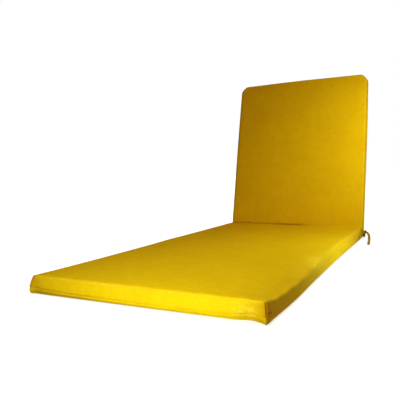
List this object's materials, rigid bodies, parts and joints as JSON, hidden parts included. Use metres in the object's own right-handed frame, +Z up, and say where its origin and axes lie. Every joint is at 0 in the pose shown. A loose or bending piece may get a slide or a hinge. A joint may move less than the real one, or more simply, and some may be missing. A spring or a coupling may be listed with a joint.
{
  "type": "sun lounger cushion",
  "caption": "Long padded lounger cushion, folded at a sewn hinge line into a seat section on the ground and a raised back section, with a knotted cloth tie at the fold.",
  "frame": {"origin": "middle of the seat section's flat underside, on the ground", "axes": "+Y from the foot end towards the head end, +X across the width towards the tie, +Z up"},
  "size_m": [0.6464, 1.4195, 0.6988],
  "materials": {
    "cover": "matt slub canvas",
    "tie": "matt canvas strap"
  },
  "bodies": {
    "root": {"cushion": "cover", "tie_knot": "tie", "tie_tail": "tie", "tie_short_end": "tie"}
  },
  "joints": []
}
